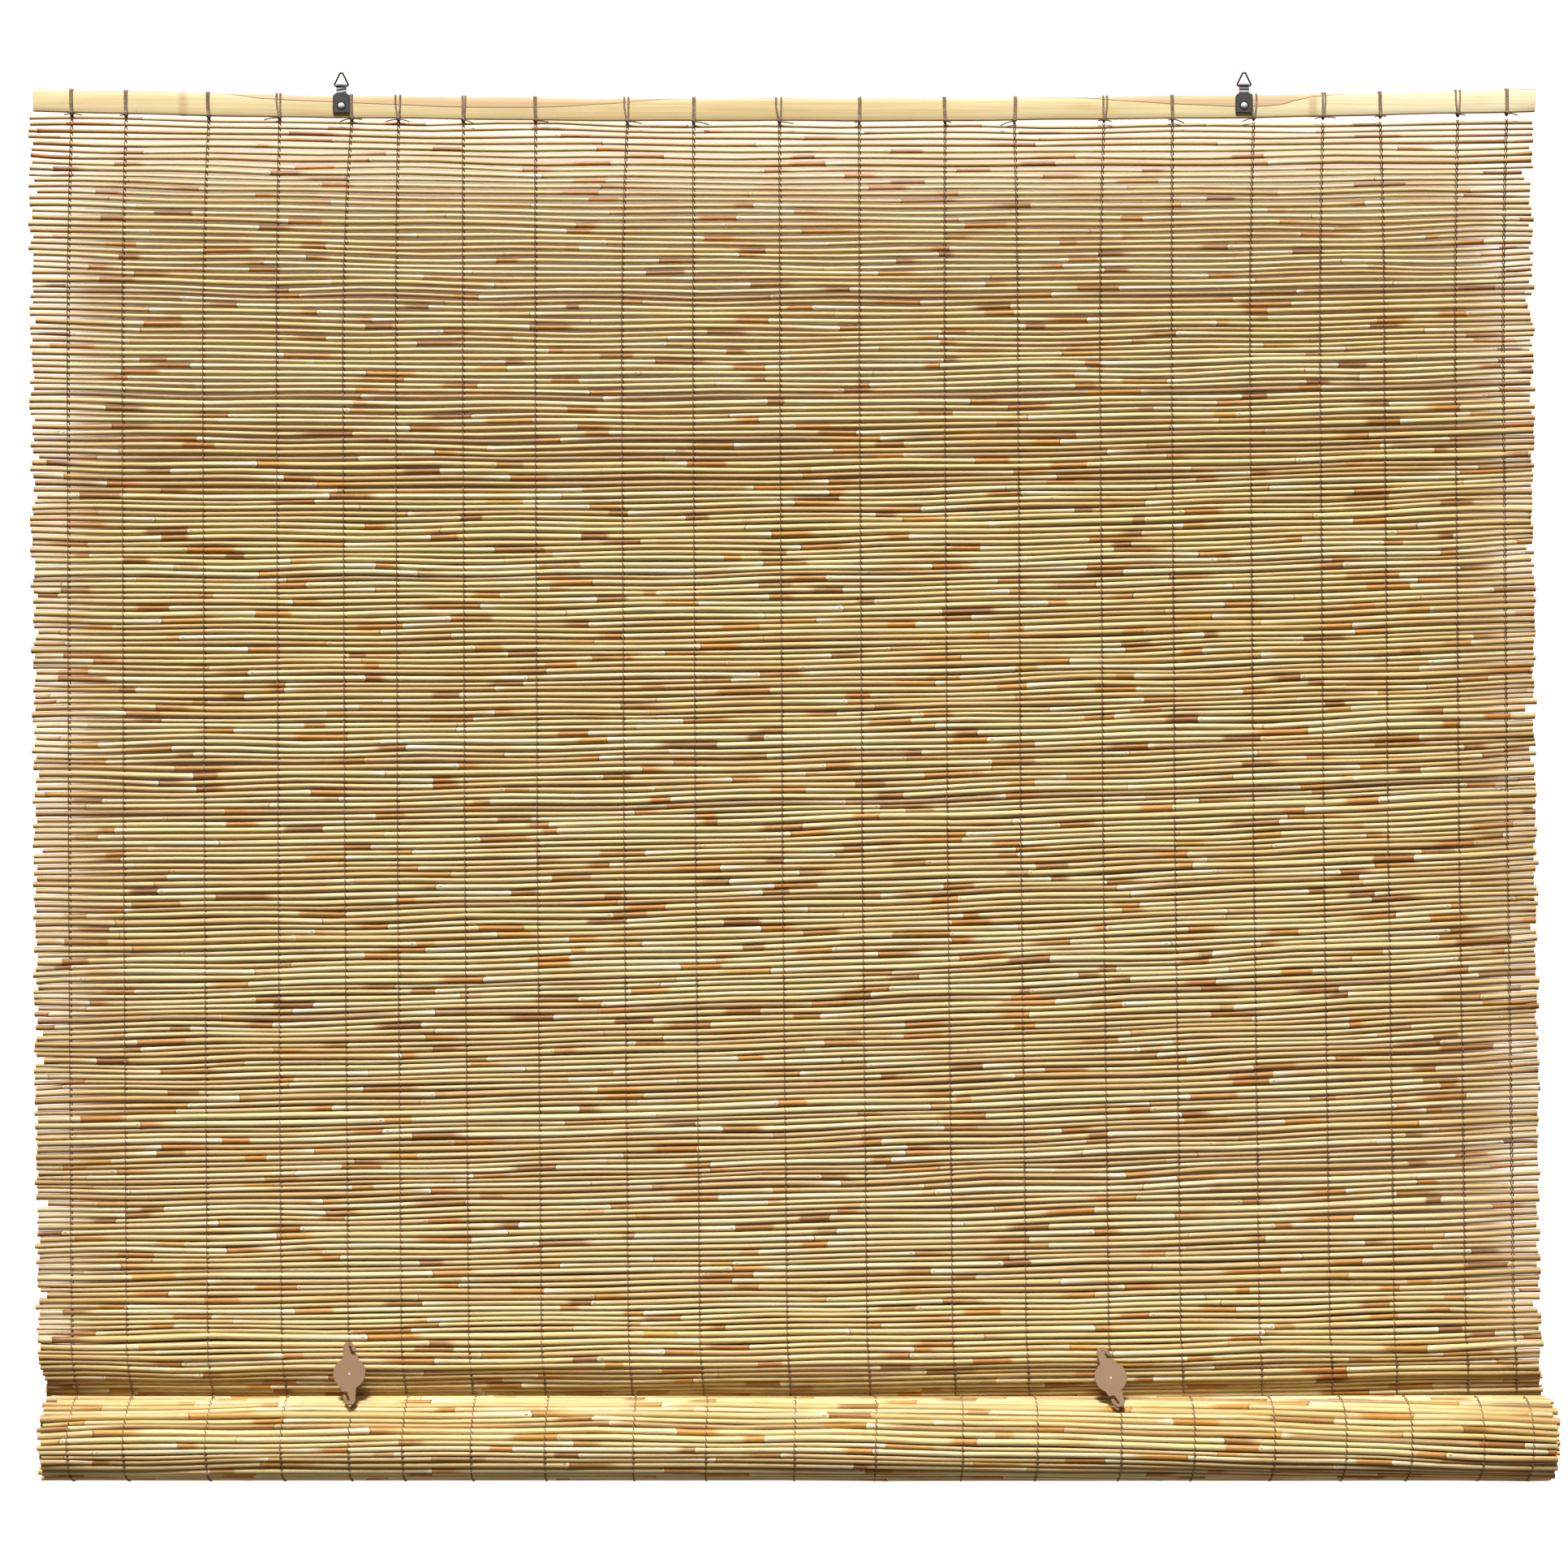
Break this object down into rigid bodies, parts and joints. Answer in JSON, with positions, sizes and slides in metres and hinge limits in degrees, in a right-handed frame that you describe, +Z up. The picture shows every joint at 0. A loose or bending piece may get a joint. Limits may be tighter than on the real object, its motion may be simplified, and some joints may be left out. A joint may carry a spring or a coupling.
{
  "type": "roll-up reed blind",
  "caption": "Outdoor roll-up blind of natural reeds tied with twine, hung by wire rings from a bowed bamboo head slat, its lower end rolled and held up by plastic hook clips.",
  "frame": {"origin": "on the hanging line, inside the top of the two rings, midway across the mat", "axes": "+X to the viewer's right along the head slat, +Y towards the wall, +Z up"},
  "size_m": [1.227, 0.0725, 1.1406],
  "materials": {
    "bamboo": "natural skin, dry",
    "reed": "natural, satin",
    "twine": "twisted, matt",
    "tan_plastic": "moulded, satin",
    "black_steel": "satin black",
    "black_wire": "gloss black",
    "bright_steel": "plated, bright"
  },
  "bodies": {
    "rail": {"head_rail": "bamboo", "hanger_strap_left": "black_steel", "hanger_strap_right": "black_steel", "hanger_rivet_left": "bright_steel", "hanger_rivet_right": "bright_steel", "reed_mat": "reed", "warp_cord_01": "twine", "warp_cord_02": "twine", "warp_cord_03": "twine", "warp_cord_04": "twine", "warp_cord_05": "twine", "warp_cord_06": "twine", "warp_cord_07": "twine", "warp_cord_08": "twine", "warp_cord_09": "twine", "warp_cord_10": "twine", "warp_cord_11": "twine", "warp_cord_12": "twine", "warp_cord_13": "twine", "warp_cord_14": "twine", "warp_cord_15": "twine", "warp_cord_16": "twine", "warp_cord_17": "twine", "warp_cord_18": "twine", "warp_cord_19": "twine", "warp_cord_20": "twine", "warp_cord_21": "twine"},
    "ring_left": {"hanger_ring_left": "black_wire"},
    "ring_right": {"hanger_ring_right": "black_wire"},
    "clips": {"clip_left": "tan_plastic", "clip_right": "tan_plastic"},
    "roll": {"reed_roll": "reed", "roll_cords": "twine"}
  },
  "joints": [
    {"name": "ring_left_swing", "type": "hinge", "parent": "rail", "child": "ring_left", "pos_m": [-0.35805, 0, -0.01015], "axis": [1, 0, 0], "range_deg": [-100, 145]},
    {"name": "ring_right_swing", "type": "hinge", "parent": "rail", "child": "ring_right", "pos_m": [0.37213, 0, -0.00994], "axis": [1, 0, 0], "range_deg": [-100, 145]},
    {"name": "roll_lift", "type": "slide", "parent": "rail", "child": "clips", "axis": [0, 0, 1], "range_m": [0, 0.8294], "deforming": ["reed_mat", "warp_cord_01", "warp_cord_02", "warp_cord_03", "warp_cord_04", "warp_cord_05", "warp_cord_06", "warp_cord_07", "warp_cord_08", "warp_cord_09", "warp_cord_10", "warp_cord_11", "warp_cord_12", "warp_cord_13", "warp_cord_14", "warp_cord_15", "warp_cord_16", "warp_cord_17", "warp_cord_18", "warp_cord_19", "warp_cord_20", "warp_cord_21"]},
    {"name": "roll_turn", "type": "hinge", "parent": "clips", "child": "roll", "pos_m": [0, 0.0028, -1.10256], "axis": [1, 0, 0], "range_deg": [-1441, 0]}
  ],
  "couplings": [
    {"joint": "roll_turn", "follows": "roll_lift", "rad_per_m": -30.302}
  ]
}
